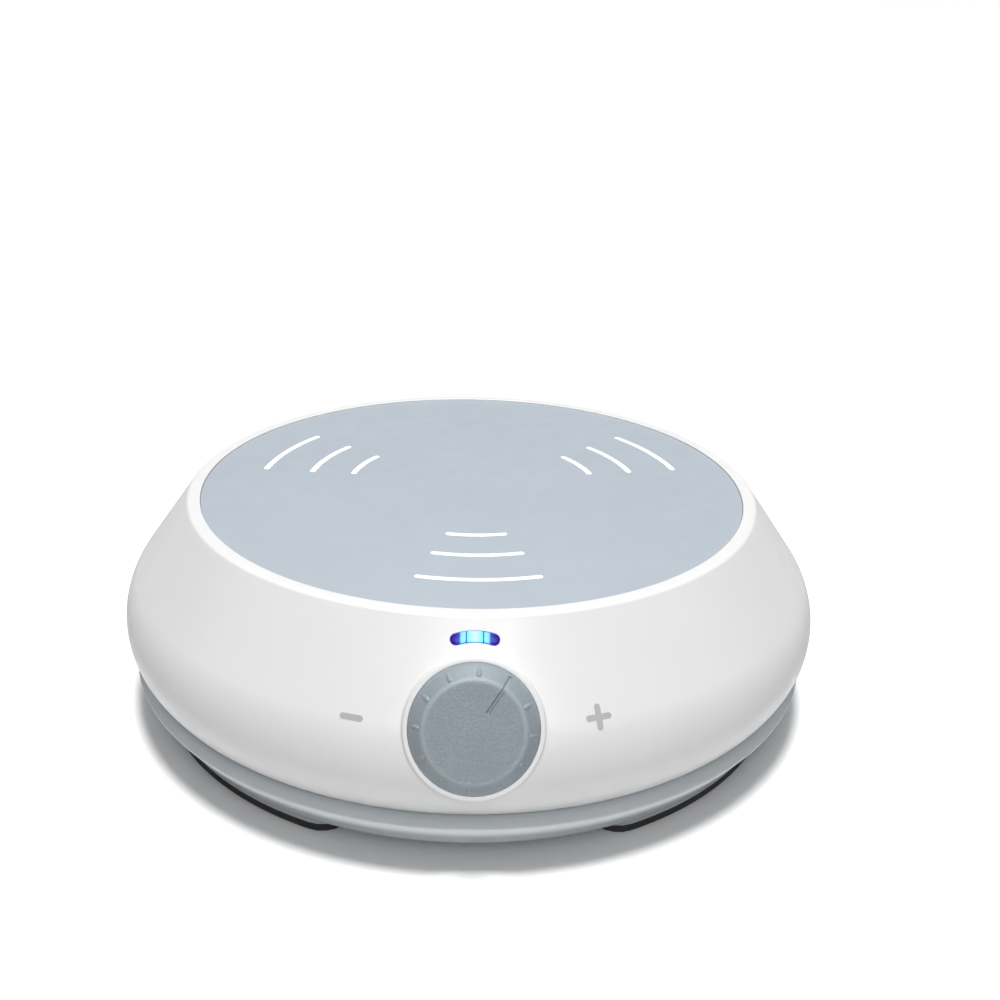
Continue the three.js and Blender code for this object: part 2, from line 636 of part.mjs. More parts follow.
const PLUG_Y = 35.4; // just in front of the connectors
piece("motor_cable", cable([[-6, 17.8, 15], [-8, 25, 17.5], [-8, PLUG_Y, 14]], 1.3), BLACK_PLASTIC, stirrer);
piece("pot_cable", cable([
  [0, -56.5, 21],
  [18, -46, 12],
  [34, -22, 9],
  [36, 12, 9],
  [22, 27, 13],
  [8.5, PLUG_Y, 14],
], 1.1), BLACK_PLASTIC, stirrer);
piece("led_cable", cable([
  [-3, -60, 38.2],
  [-18, -48, 28],
  [-32, -26, 18],
  [-36, 12, 12],
  [-16, 26, 20],
  [5, PLUG_Y, 15],
], 0.9), BLACK_PLASTIC, stirrer);

export default stirrer;
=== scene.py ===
"""Compact magnetic stirrer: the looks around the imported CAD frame.

Lengths are millimetres with z = 0 on the bench, and each piece is turned into metres in the row frame as
its mesh is made. The front, with the knob, is on -Y.
"""

import json
import math

import bmesh
import bpy
from mathutils import Matrix, Vector


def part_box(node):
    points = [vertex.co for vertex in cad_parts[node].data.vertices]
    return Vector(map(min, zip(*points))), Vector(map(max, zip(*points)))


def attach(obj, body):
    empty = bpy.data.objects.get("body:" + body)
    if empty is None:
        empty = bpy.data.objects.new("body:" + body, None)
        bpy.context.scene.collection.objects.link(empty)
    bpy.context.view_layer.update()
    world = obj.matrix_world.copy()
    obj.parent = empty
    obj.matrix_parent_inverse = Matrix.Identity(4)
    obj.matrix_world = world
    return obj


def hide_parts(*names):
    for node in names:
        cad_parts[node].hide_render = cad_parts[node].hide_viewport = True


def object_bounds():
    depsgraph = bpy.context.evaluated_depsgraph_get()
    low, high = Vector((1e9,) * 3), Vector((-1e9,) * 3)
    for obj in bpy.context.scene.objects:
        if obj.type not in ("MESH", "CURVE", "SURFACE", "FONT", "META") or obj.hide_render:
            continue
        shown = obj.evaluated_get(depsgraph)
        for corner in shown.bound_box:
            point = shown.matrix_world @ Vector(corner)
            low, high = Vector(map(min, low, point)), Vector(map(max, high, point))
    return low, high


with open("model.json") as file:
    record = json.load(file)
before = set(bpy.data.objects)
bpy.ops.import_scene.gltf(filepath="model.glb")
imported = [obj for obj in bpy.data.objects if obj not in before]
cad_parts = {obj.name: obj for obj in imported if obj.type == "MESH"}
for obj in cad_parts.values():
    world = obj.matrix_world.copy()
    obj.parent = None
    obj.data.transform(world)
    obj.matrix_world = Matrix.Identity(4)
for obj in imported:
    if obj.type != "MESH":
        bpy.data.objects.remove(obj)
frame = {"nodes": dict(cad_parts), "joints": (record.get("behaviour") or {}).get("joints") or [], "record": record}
CAD_LOW, CAD_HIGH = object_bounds()

# ---- Sizes read from the frame -------------------------------------------------------------------

MM = 0.001
BENCH_Z = CAD_LOW.z / MM  # the row frame's origin is the plate's top, so this is below zero
TO_ROW = Matrix.Scale(MM, 4) @ Matrix.Translation((0, 0, BENCH_Z))


def top_of(node):
    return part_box(node)[1].z / MM - BENCH_Z


def bottom_of(node):
    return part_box(node)[0].z / MM - BENCH_Z


def radius_of(node):
    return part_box(node)[1].x / MM


BODY_R = radius_of("upper_shell")
PLATE_R = radius_of("stir_plate")
TRAY_EDGE_R = radius_of("base_tray")
RIM_TOP = top_of("upper_shell")
PLATE_TOP = top_of("stir_plate")
PLATE_UNDER = bottom_of("stir_plate")
BOSS_UNDER = bottom_of("base_tray")
PAD_TOP = top_of("foot_pad_1")
SCREW_TOP = top_of("base_screw_1")
SCREW_UNDER = bottom_of("base_screw_1")

# ---- Shapes that the frame's boxes don't give ----------------------------------------------------

WIDEST_Z = 21.5
FLANK_TILT = math.radians(35.7)
SHOULDER_R = 17.0
BELLY_R = 13.3
SEAM_Z = 10.8
WALL = 2.2
DECK_T = 1.8
DECK_TOP = PLATE_UNDER - 0.4
RIM_GAP = 0.06  # between the plate's edge and the rim

TRAY_FOOT_R = 73.7
TRAY_UNDER = 3.5
TRAY_FLOOR = 5.5
TRAY_EDGE_RISE = 6.9  # from the tray's underside to the top of its slanted wall
TRAY_LIP = 4.6  # the flange slopes up over this width, from the outer edge in to the seam
TRAY_ROUND = 0.4
TONGUE_GAP = 0.3  # between the tray's tongue and the shell's wall
TONGUE_T = 1.6
TONGUE_RISE = 2.6
FLOOR_CHAMFER = 1.5
FOOT_MID_R = 67.2
FOOT_W = 11.4
SPIGOT_W = 7.6
FOOT_HALF_ANGLE = math.radians(19)
FOOT_ANGLES = [math.radians(a) for a in (45, 135, 225, 315)]
SCREW_MID_R = 56.0
SCREW_HEAD_R = 2.9
SCREW_HEAD_H = 2.0
SCREW_SHANK_R = 1.4
SCREW_TIP = 1.4
RECESS_LENGTH = 3.2
RECESS_WIDTH = 0.75
RECESS_H = 2.2  # half of it is cut into the head
TURRET_R = 4.6
TURRET_TOP = 8.5
HEAD_WAY = (3.1, 6.2)  # radius and top of the hole for a screw's head
SHANK_WAY = (1.7, 12.0)

KNOB_R = 12.0
KNOB_EDGE_R = 11.6
KNOB_EDGE_Z = 2.5
KNOB_FACE_R = 9.35
KNOB_RISE = 5.3
KNOB_UNDER = -3.7
KNOB_INNER_R = 10.6
KNOB_HUB_R = 5.2
KNOB_HUB_UNDER = 0.6
KNOB_BORE_R = 3.05
KNOB_BORE_TOP = 2.9
POCKET_R = 12.2
COLLAR_LIP_R = 12.04  # the collar's inner edge closes in on the knob
POCKET_FLOOR = -4.5
POCKET_HOLE_R = 3.8  # for the potentiometer's bushing
COLLAR_R = 13.0
COLLAR_TOP = 0.6
COLLAR_LIP = 0.8  # rounding of the collar's top
COLLAR_FILLET = 0.6
COLLAR_REACH = 14.6  # the collar's own mesh ends here and the shell's begins
COLLAR_SKIRT = 2.4  # how far the collar's outside runs on behind the pocket's wall
POINTER_ANGLE = math.radians(34)  # clockwise from the top
BUMP_STEP = math.radians(30)

WINDOW_Z = 44.9
WINDOW_MID_R = 12.0
WINDOW_W = 2.1
WINDOW_HALF_ANGLE = math.radians(17)
WINDOW_DEPTH = 6.0
WINDOW_DOME = 0.22
WINDOW_GAP = 0.08

JACK_Z = 18.4
JACK_HOLE_R = 4.4
JACK_WAY = (60.0, 90.0)  # the socket's hole is cut between these distances from the middle

ROUND = 288  # facets round the body
CUT_DEPTH = -9.0  # cutters start this far inside the flank

# ---- Mesh tools ----------------------------------------------------------------------------------


def arc(centre_r, centre_z, radius, start, end, steps):
    """Points of an arc in a profile; angles run from +r towards +z."""
    angles = [start + (end - start) * i / steps for i in range(steps + 1)]
    return [(centre_r + radius * math.cos(a), centre_z + radius * math.sin(a)) for a in angles]


def rounded(corners, steps=5):
    """A profile from (r, z, rounding radius) corners, each rounded corner as an arc."""
    points = []
    for i, (r, z, radius) in enumerate(corners):
        here = Vector((r, z))
        if not radius:
            points.append((r, z))
            continue
        before = Vector(corners[i - 1][:2]) - here
        after = Vector(corners[(i + 1) % len(corners)][:2]) - here
        half = before.angle(after) / 2
        reach = min(radius / math.tan(half), 0.49 * before.length, 0.49 * after.length)
        start = here + before.normalized() * reach
        end = here + after.normalized() * reach
        for k in range(steps + 1):
            t = k / steps
            point = start.lerp(here, t).lerp(here.lerp(end, t), t)
            points.append((point.x, point.y))
    return points


def add_loop(bm, points):
    return [bm.verts.new(p) for p in points]


def bridge(bm, low, high):
    """Faces between two loops of the same length; a loop of one vertex is a pole."""
    count = max(len(low), len(high))
    for i in range(count):
        j = (i + 1) % count
        corners = [low[i % len(low)], low[j % len(low)], high[j % len(high)], high[i % len(high)]]
        distinct = [v for k, v in enumerate(corners) if v not in corners[:k]]
        if len(distinct) > 2:
            bm.faces.new(distinct)


def lathe(profile, segments):
    """Solid of revolution about Z from (radius, height) pairs, anticlockwise round the section."""
    bm = bmesh.new()
    angles = [2 * math.pi * i / segments for i in range(segments)]
    loops = []
    for r, z in profile:
        ring = [(*polar(r, a), z) for a in angles] if r else [(0, 0, z)]
        loops.append(add_loop(bm, ring))
    rings_between(bm, loops)
    if len(loops[0]) > 1 and len(loops[-1]) > 1:
        bridge(bm, loops[-1], loops[0])
    return bm


def rod(radius, low, high, segments):
    return lathe([(0, low), (radius, low), (radius, high), (0, high)], segments)


def bar_outline(mid_r, width, half_angle, middle, steps=24, cap_steps=10):
    """Outline of a bar bent round the origin, with rounded ends, anticlockwise."""
    start, end = middle - half_angle, middle + half_angle
    half = width / 2
    outer = arc(0, 0, mid_r + half, start, end, steps)
    far = arc(*polar(mid_r, end), half, end, end + math.pi, cap_steps)
    inner = arc(0, 0, mid_r - half, end, start, steps)
    near = arc(*polar(mid_r, start), half, start + math.pi, start + 2 * math.pi, cap_steps)
    return outer + far[1:-1] + inner + near[1:-1]


def bent_bar(mid_r, width, half_angle, middle, section, steps=24):
    """Solid bar bent round Z; section is a list of (inset, height) from its underside to its top."""
    bm = bmesh.new()
    loops = []
    for inset, z in section:
        outline = bar_outline(mid_r, width - 2 * inset, half_angle, middle, steps)
        loops.append(add_loop(bm, [(x, y, z) for x, y in outline]))
    rings_between(bm, loops)
    bm.faces.new(list(reversed(loops[0])))
    bm.faces.new(loops[-1])
    return bm


def soft_section(low, high, low_round, high_round, steps=4):
    """Section of a bar or disc whose two edges are rounded, as (inset, height) pairs."""
    quarter = [math.pi / 2 * i / steps for i in range(steps + 1)]
    under = [(low_round * (1 - math.sin(a)), low + low_round * (1 - math.cos(a))) for a in quarter]
    over = [(high_round * (1 - math.cos(a)), high - high_round * (1 - math.sin(a))) for a in quarter]
    return (under if low_round else [(0, low)]) + (over if high_round else [(0, high)])


def rings_between(bm, loops):
    for low, high in zip(loops, loops[1:]):
        bridge(bm, low, high)


def polar(radius, angle):
    return radius * math.cos(angle), radius * math.sin(angle)


def to_object(name, bm, place=Matrix.Identity(4)):
    """An object in the row frame from a mesh in millimetres; place is its frame above the bench."""
    bmesh.ops.recalc_face_normals(bm, faces=bm.faces)
    bm.transform(TO_ROW @ place)
    mesh = bpy.data.meshes.new(name)
    bm.to_mesh(mesh)
    bm.free()
    obj = bpy.data.objects.new(name, mesh)
    bpy.context.scene.collection.objects.link(obj)
    return obj


def combine(obj, others, operation):
    """Cuts the others from obj, or joins them to it, and leaves the result in obj's mesh."""
    for other in others:
        step = obj.modifiers.new(operation, "BOOLEAN")
        step.operation = operation
        step.solver = "EXACT"
        step.object = other
        evaluated = obj.evaluated_get(bpy.context.evaluated_depsgraph_get())
        mesh = bpy.data.meshes.new_from_object(evaluated)
        obj.modifiers.clear()
        obj.data = mesh
    for other in others:
        bpy.data.objects.remove(other)
    return obj


def smooth(obj, angle=32, weighted=False):
    """Smooth shading with sharp edges where faces meet at more than the angle."""
    obj.data.shade_smooth()
    obj.data.set_sharp_from_angle(angle=math.radians(angle))
    if weighted:
        normals = obj.modifiers.new("weighted_normals", "WEIGHTED_NORMAL")
        normals.keep_sharp = True
    return obj


def point_values(obj, place, **formulas):
    """Stores each formula of a vertex's place, in the piece's own frame in millimetres, for its material."""
    back = (TO_ROW @ place).inverted()
    places = [back @ v.co for v in obj.data.vertices]
    for name, formula in formulas.items():
        values = obj.data.attributes.new(name, "FLOAT", "POINT")
        values.data.foreach_set("value", [formula(p) for p in places])


def finish_piece(obj, body, material, slot, *replaced):
    """Paints a piece, puts it on its body and hides the CAD nodes that it stands for."""
    obj.data.materials.clear()
    obj.data.materials.append(material)
    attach(obj, body)
    if replaced:
        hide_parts(*replaced)
    return obj


# ---- Frames on the body --------------------------------------------------------------------------


def frame_matrix(x_axis, y_axis, z_axis, at):
    rotation = Matrix((x_axis, y_axis, z_axis)).transposed().to_4x4()
    return Matrix.Translation(at) @ rotation


def knob_frame():
    """Its z axis is the knob's axis, pointing out of the body, and its y axis points up along the face."""
    joint = next(j for j in frame["joints"] if j["name"] == "knob_turn")
    outwards = -Vector(joint["axis"]).normalized()
    at = Vector(joint["pos_m"]) / MM - Vector((0, 0, BENCH_Z))
    right = Vector((1, 0, 0))
    return frame_matrix(right, outwards.cross(right), outwards, at)


def body_radius(z):
    """Outer radius of the shell at a height above the bench."""
    tangent_z = WIDEST_Z + SHOULDER_R * math.sin(FLANK_TILT)
    if z < WIDEST_Z:
        return BODY_R - BELLY_R + math.sqrt(BELLY_R ** 2 - (z - WIDEST_Z) ** 2)
    if z < tangent_z:
        return BODY_R - SHOULDER_R + math.sqrt(SHOULDER_R ** 2 - (z - WIDEST_Z) ** 2)
    tangent_r = BODY_R - SHOULDER_R * (1 - math.cos(FLANK_TILT))
    return tangent_r - (z - tangent_z) * math.tan(FLANK_TILT)


def flank_frame(azimuth, z):
    """A frame on the flank: z axis outwards, x axis to the right.

    The azimuth is in degrees, to the right of the front.
    """
    turn = math.radians(azimuth)
    out = Vector((math.sin(turn), -math.cos(turn), 0))
    right = Vector((math.cos(turn), math.sin(turn), 0))
    normal = (out * math.cos(FLANK_TILT) + Vector((0, 0, math.sin(FLANK_TILT)))).normalized()
    at = out * body_radius(z) + Vector((0, 0, z))
    return frame_matrix(right, normal.cross(right), normal, at)


KNOB_FRAME = knob_frame()
WINDOW_FRAME = flank_frame(0, WINDOW_Z) @ Matrix.Translation((0, -WINDOW_MID_R, 0))

# ---- Materials -----------------------------------------------------------------------------------


class Nodes:
    """A material's node tree, with short calls for the nodes that these finishes use."""

    def __init__(self, name):
        self.material = bpy.data.materials.new(name)
        self.material.use_nodes = True
        self.tree = self.material.node_tree
        self.shader = self.tree.nodes["Principled BSDF"]
        self.place = self.add("ShaderNodeTexCoord").outputs["Object"]

    def add(self, kind, **settings):
        node = self.tree.nodes.new(kind)
        for key, value in settings.items():
            setattr(node, key, value)
        return node

    def link(self, output, target):
        self.tree.links.new(output, target)

    def noise(self, size_mm, detail=3.0, roughness=0.5, stretch=(1, 1, 1)):
        """Noise whose blotches are about size_mm across."""
        mapping = self.add("ShaderNodeMapping")
        mapping.inputs["Scale"].default_value = stretch
        self.link(self.place, mapping.inputs["Vector"])
        node = self.add("ShaderNodeTexNoise")
        node.inputs["Scale"].default_value = 1 / (size_mm * MM)
        node.inputs["Detail"].default_value = detail
        node.inputs["Roughness"].default_value = roughness
        self.link(mapping.outputs["Vector"], node.inputs["Vector"])
        return node.outputs["Fac"]

    def spread(self, value, low, high, start=0.35, end=0.65):
        """Maps a value from start..end to low..high."""
        node = self.add("ShaderNodeMapRange")
        node.inputs["From Min"].default_value = start
        node.inputs["From Max"].default_value = end
        node.inputs["To Min"].default_value = low
        node.inputs["To Max"].default_value = high
        self.link(value, node.inputs["Value"])
        return node.outputs["Result"]

    def mix(self, amount, first, second):
        """A mix of two colours, each given as numbers or as another node's output."""
        node = self.add("ShaderNodeMix", data_type="RGBA")
        self.link(amount, node.inputs["Factor"])
        for name, colour in (("A", first), ("B", second)):
            if isinstance(colour, bpy.types.NodeSocket):
                self.link(colour, node.inputs[name])
            else:
                node.inputs[name].default_value = (*colour, 1)
        return node.outputs["Result"]

    def paint(self, colour):
        self.link(colour, self.shader.inputs["Base Color"])

    def paint_so_far(self):
        return self.shader.inputs["Base Color"].links[0].from_socket

    def attribute(self, name):
        return self.add("ShaderNodeAttribute", attribute_name=name).outputs["Fac"]

    def bump(self, height, distance_mm, strength=1.0, under=None):
        node = self.add("ShaderNodeBump")
        node.inputs["Distance"].default_value = distance_mm * MM
        node.inputs["Strength"].default_value = strength
        self.link(height, node.inputs["Height"])
        if under:
            self.link(under, node.inputs["Normal"])
        return node.outputs["Normal"]

    def set(self, **values):
        for key, value in values.items():
            self.shader.inputs[key.replace("_", " ")].default_value = value


def moulded(name, colour, shade, roughness, grain_mm, grain_depth,
            rough_range=0.06, specular=0.5, wave=0.02, blotch=(26, 2, 0.5)):
    """Moulded plastic: a drift between two tones, fine surface grain and uneven gloss.

    The blotch is the drift's size in mm, detail and roughness; the wave is the depth of slow waves in mm.
    """
    n = Nodes(name)
    n.paint(n.mix(n.spread(n.noise(*blotch), 0, 1), colour, shade))
    gloss = n.spread(n.noise(5, detail=4), roughness - rough_range, roughness + rough_range)
    n.link(gloss, n.shader.inputs["Roughness"])
    grain = n.noise(grain_mm, detail=3, roughness=0.6)
    waves = n.bump(n.noise(14, detail=1), wave, 0.25)
    n.link(n.bump(grain, grain_depth, 0.6, waves), n.shader.inputs["Normal"])
    n.set(Specular_IOR_Level=specular)
    return n


def metal(name, colour, shade, roughness, stretch=(1, 1, 12)):
    """Machined or plated metal with fine tool lines and faint stains."""
    n = Nodes(name)
    n.paint(n.mix(n.spread(n.noise(6, detail=4), 0, 1), colour, shade))
    lines = n.noise(0.5, detail=4, roughness=0.65, stretch=stretch)
    n.link(n.spread(lines, roughness - 0.07, roughness + 0.09), n.shader.inputs["Roughness"])
    n.link(n.bump(lines, 0.01, 0.5), n.shader.inputs["Normal"])
    n.set(Metallic=1.0)
    return n


def tray_plastic():
    """Grey moulded plastic with painted light and shade: the flange is painted lighter and the wall below it a
    shade deeper.
    """
    n = moulded("tray_grey", (0.52, 0.551, 0.574), (0.50, 0.53, 0.552), 0.5, 0.3, 0.02)
    height = n.add("ShaderNodeSeparateXYZ")
    n.link(n.place, height.inputs["Vector"])
    flange_z = (BENCH_Z + SEAM_Z - 2) * MM
    wall_z = (BENCH_Z + TRAY_FLOOR + 1) * MM
    painted_light_share = n.spread(height.outputs["Z"], 0, 1, wall_z, flange_z)
    # Painted shade: the tray darkens from the flange's lighter tone down to a deeper grey on the wall below.
    n.paint(n.mix(painted_light_share, (0.25, 0.265, 0.278), n.paint_so_far()))
    return n


def shaded(tone, factor):
    return [factor * c for c in tone]


def knob_plastic():
    """Spark-eroded grey plastic with a painted highlight along the edge of its face and, weaker, over its bevel.
    """
    fine = (0.55, 4, 0.7)
    n = moulded("knob_grey", KNOB_TONE, shaded(KNOB_TONE, 0.84), 0.48, 0.42, 0.16, 0.08, blotch=fine)
    # Painted highlight: a lighter copy of the knob's tone along the edge of its face and over its bevel.
    n.paint(n.mix(n.attribute("edge"), n.paint_so_far(), shaded(KNOB_TONE, 1.25)))
    return n


def light_pipe():
    """Clear light pipe lit from behind: a bright middle cell, two side cells and dark violet ends."""
    n = Nodes("light_pipe")
    ramp = n.add("ShaderNodeValToRGB")
    elements = ramp.color_ramp.elements
    while len(elements) < len(WINDOW_TONES):
        elements.new(0.5)
    for element, (position, colour) in zip(elements, WINDOW_TONES):
        element.position = position
        element.color = (*colour, 1)
    n.link(n.attribute("along"), ramp.inputs["Fac"])
    colour = n.mix(n.spread(n.attribute("rim"), 0, 0.8, 0.8, 1.0), ramp.outputs["Color"], WINDOW_RIM_TONE)
    n.paint(colour)
    n.link(colour, n.shader.inputs["Emission Color"])
    glow = n.spread(n.noise(1.2, detail=2), 0.7, 0.9)
    n.link(glow, n.shader.inputs["Emission Strength"])
    n.link(n.bump(n.noise(0.6), 0.01, 0.3), n.shader.inputs["Normal"])
    n.set(Roughness=0.3, Specular_IOR_Level=0.15)
    return n


def circuit_board():
    """Green solder mask with paler tracks under it."""
    n = Nodes("board_green")
    tracks = n.add("ShaderNodeTexVoronoi", feature="DISTANCE_TO_EDGE")
    tracks.inputs["Scale"].default_value = 1 / (2.5 * MM)
    n.link(n.place, tracks.inputs["Vector"])
    track = n.spread(tracks.outputs["Distance"], 1, 0, 0.03, 0.06)
    n.paint(n.mix(track, (0.02, 0.16, 0.08), (0.05, 0.30, 0.14)))
    n.link(n.bump(track, 0.03, 0.5), n.shader.inputs["Normal"])
    n.set(Roughness=0.35)
    return n


KNOB_TONE = (0.207, 0.24, 0.265)
WINDOW_RIM_TONE = (0.03, 0.01, 0.3)
WINDOW_TONES = [  # from the middle of the window to its ends
    (0.00, (0.32, 1.00, 1.00)),
    (0.15, (0.22, 0.95, 1.00)),
    (0.31, (0.07, 0.55, 0.95)),
    (0.335, (0.00, 0.04, 0.14)),  # the bar between two cells
    (0.365, (0.00, 0.04, 0.14)),
    (0.39, (0.16, 0.52, 1.00)),
    (0.55, (0.12, 0.40, 0.98)),
    (0.63, (0.012, 0.03, 0.34)),
    (0.80, (0.008, 0.004, 0.12)),
    (1.00, (0.02, 0.004, 0.2)),
]
MATERIALS = {
    "tray_grey": tray_plastic(),
    "knob_grey": knob_plastic(),
    "light_pipe": light_pipe(),
    "board_green": circuit_board(),
}
# Name, two tones, roughness, grain size and depth in mm, then spread of roughness, specular and wave depth
for plastic in (
    ("shell_white", (0.625, 0.625, 0.622), (0.613, 0.614, 0.613), 0.36, 0.35, 0.012),
    ("plate_coat", (0.368, 0.412, 0.455), (0.359, 0.401, 0.444), 0.42, 0.22, 0.008, 0.04, 0.35, 0.006),
    ("print_white", (0.93, 0.93, 0.93), (0.88, 0.88, 0.88), 0.5, 0.2, 0.01),
    ("print_grey", (0.385, 0.385, 0.389), (0.34, 0.34, 0.344), 0.5, 0.2, 0.01),
    ("foot_rubber", (0.012, 0.012, 0.014), (0.02, 0.02, 0.022), 0.75, 0.3, 0.05, 0.1, 0.3),
    ("black_plastic", (0.02, 0.02, 0.022), (0.03, 0.03, 0.032), 0.45, 0.3, 0.03),
    ("adhesive", (0.22, 0.22, 0.225), (0.27, 0.27, 0.27), 0.85, 0.8, 0.08),
    ("lamp", (0.85, 0.82, 0.6), (0.9, 0.88, 0.72), 0.25, 0.3, 0.01),
):
    MATERIALS[plastic[0]] = moulded(*plastic)
# Name, two tones, roughness and the stretch of the tool lines
for plating in (
    ("steel", (0.56, 0.57, 0.58), (0.46, 0.46, 0.47), 0.34),
    ("dark_steel", (0.12, 0.12, 0.13), (0.18, 0.18, 0.19), 0.42),
    ("copper", (0.62, 0.26, 0.12), (0.48, 0.18, 0.08), 0.38, (1, 1, 20)),
    ("nickel", (0.68, 0.67, 0.65), (0.58, 0.57, 0.55), 0.2),
    ("aluminium", (0.72, 0.73, 0.74), (0.64, 0.65, 0.66), 0.36, (12, 1, 1)),
):
    MATERIALS[plating[0]] = metal(*plating)


def finish(slot):
    return MATERIALS[slot].material


def paint_cad_nodes():
    for part in frame["record"]["subparts"]:
        node = frame["nodes"][part["node"]]
        node.data.materials.clear()
        node.data.materials.append(finish(part["material_slot"]))
        smooth(node, 28)


# ---- White shell ---------------------------------------------------------------------------------


def shell_curve(inset, bottom, top, steps):
    """The shell's section from the seam up to a height on the flank, moved inwards by an inset."""
    belly_start = math.asin((bottom - WIDEST_Z) / (BELLY_R - inset))
    belly = arc(BODY_R - BELLY_R, WIDEST_Z, BELLY_R - inset, belly_start, 0, steps)
    shoulder = arc(BODY_R - SHOULDER_R, WIDEST_Z, SHOULDER_R - inset, 0, FLANK_TILT, steps)[1:]
    flank_r, flank_z = shoulder[-1]
    rows = 6
    flank = []
    for i in range(1, rows + 1):
        z = flank_z + (top - flank_z) * i / rows
        flank.append((flank_r - (z - flank_z) * math.tan(FLANK_TILT), z))
    return belly + shoulder + flank


def shell_body():
    outer = shell_curve(0, SEAM_Z, RIM_TOP - 1.4, 12)
    inner = shell_curve(WALL, SEAM_Z, DECK_TOP - DECK_T - 1, 6)
    inner.reverse()
    seat_r = PLATE_R + RIM_GAP
    edge = rounded([
        (*outer[-1], 0),
        (body_radius(RIM_TOP), RIM_TOP, 1.1),
        (seat_r, RIM_TOP, 0.25),
        (seat_r, DECK_TOP, 0),
    ])[1:]
    deck_under = DECK_TOP - DECK_T
    profile = [(0, deck_under), (inner[0][0] - 2, deck_under), *inner, *outer, *edge, (0, DECK_TOP)]
    shell = to_object("shell", lathe(profile, ROUND))
    knob_way = rod(COLLAR_REACH, CUT_DEPTH, 12, 160)
    slot_w = WINDOW_W + 2 * WINDOW_GAP
    lamp_way = bent_bar(WINDOW_MID_R, slot_w, WINDOW_HALF_ANGLE, math.pi / 2, [(0, CUT_DEPTH), (0, 4)])
    jack_way = rod(JACK_HOLE_R, *JACK_WAY, 64)
    to_back = Matrix.Translation((0, 0, JACK_Z)) @ Matrix.Rotation(-math.pi / 2, 4, "X")
    cutters = [
        to_object("knob_way", knob_way, KNOB_FRAME),
        to_object("lamp_way", lamp_way, WINDOW_FRAME),
        to_object("jack_way", jack_way, to_back),
    ]
    combine(shell, cutters, "DIFFERENCE")
    smooth(shell, 30, weighted=True)
    finish_piece(shell, "housing", finish("shell_white"), "shell_white", "upper_shell")


def flank_height(point_r, angle):
    """Height of the shell's surface above the collar's plane, at a polar place in the knob's frame."""
    low, high = -12.0, 8.0
    for _ in range(40):
        middle = (low + high) / 2
        place = KNOB_FRAME @ Vector((*polar(point_r, angle), middle))
        if math.hypot(place.x, place.y) < body_radius(place.z):
            low = middle
        else:
            high = middle
    return low


def collar():
    """The round collar that the knob sits in, with a fillet down to the flank all the way round."""
    segments, fillet_steps = 192, 8
    angles = [2 * math.pi * i / segments for i in range(segments)]
    fixed = rounded([
        (POCKET_HOLE_R, POCKET_FLOOR, 0),
        (POCKET_R, POCKET_FLOOR, 0.6),
        (POCKET_R, COLLAR_TOP - 0.8, 0),
        (COLLAR_LIP_R, COLLAR_TOP - 0.5, 0),
        (COLLAR_LIP_R, COLLAR_TOP, 0.08),
        (COLLAR_R, COLLAR_TOP, COLLAR_LIP),
        (COLLAR_R, COLLAR_TOP - 1.2, 0),
    ])[:-1]
    sections = []
    for angle in angles:
        section = list(fixed)
        foot = flank_height(COLLAR_R, angle)
        start = Vector((COLLAR_R, min(foot + COLLAR_FILLET, COLLAR_TOP - COLLAR_LIP)))
        corner = Vector((COLLAR_R, foot))
        end_r = COLLAR_R + COLLAR_FILLET
        end = Vector((end_r, flank_height(end_r, angle)))
        for k in range(fillet_steps + 1):
            t = k / fillet_steps
            section.append(tuple(start.lerp(corner, t).lerp(corner.lerp(end, t), t)))
        section.append((COLLAR_REACH, flank_height(COLLAR_REACH, angle)))
        section.append((COLLAR_REACH, POCKET_FLOOR - WALL - COLLAR_SKIRT))
        section.append((POCKET_HOLE_R, POCKET_FLOOR - WALL))
        sections.append(section)
    bm = bmesh.new()
    loops = []
    for points in zip(*sections):
        loops.append(add_loop(bm, [(*polar(r, angle), z) for angle, (r, z) in zip(angles, points)]))
    rings_between(bm, loops + loops[:1])
    piece = smooth(to_object("knob_collar", bm, KNOB_FRAME), 40)
    finish_piece(piece, "housing", finish("shell_white"), "shell_white")


# ---- Stir plate and its printed arcs -------------------------------------------------------------

ARC_RADII = (28.8, 38.6, 49.7)
ARC_HALF_ANGLES = [math.radians(a) for a in (11.8, 13.4, 14.0)]
ARC_MIDDLES = [math.radians(a) for a in (-89, 27, 157)]
ARC_WIDTH = 1.35
INK_T = 0.04
INK_UNDER = PLATE_TOP - 0.02


def stir_plate():
    profile = rounded([
        (0, PLATE_UNDER, 0),
        (PLATE_R, PLATE_UNDER, 0.2),
        (PLATE_R, PLATE_TOP, 0.12),
        (0, PLATE_TOP, 0),
    ])
    plate = smooth(to_object("stir_plate_disc", lathe(profile, ROUND)), 40)
    finish_piece(plate, "housing", finish("plate_coat"), "plate_coat", "stir_plate")
    for s, middle in enumerate(ARC_MIDDLES):
        for k, (radius, half_angle) in enumerate(zip(ARC_RADII, ARC_HALF_ANGLES)):
            section = [(0, INK_UNDER), (0, PLATE_TOP + INK_T * 0.7), (INK_T, PLATE_TOP + INK_T)]
            ink = bent_bar(radius, ARC_WIDTH, half_angle, middle, section, 40)
            mark = smooth(to_object(f"plate_arc_{s + 1}_{k + 1}", ink), 40)
            finish_piece(mark, "housing", finish("print_white"), "print_white")


# ---- Minus and plus marks ------------------------------------------------------------------------

MARK_STROKE = 1.15
MARK_LIFTS = (-0.15, 0.05)  # underside and top of the print, from the flank
MINUS = {"azimuth": -16.9, "z": 31.5, "length": 4.5}
PLUS = {"azimuth": 17.4, "z": 31.7, "length": 5.0}


def cross_outline(length, stroke, arms):
    """Outline of a plus (4 arms) or a minus (2 arms) with round ends, anticlockwise."""
    half = stroke / 2
    points = []
    for k in range(arms):
        turn = 2 * math.pi * k / arms
        centre = length / 2 - half
        points += arc(*polar(centre, turn), half, turn - math.pi / 2, turn + math.pi / 2, 10)
        if arms == 4:
            points.append(polar(half * math.sqrt(2), turn + math.pi / 4))
    return points


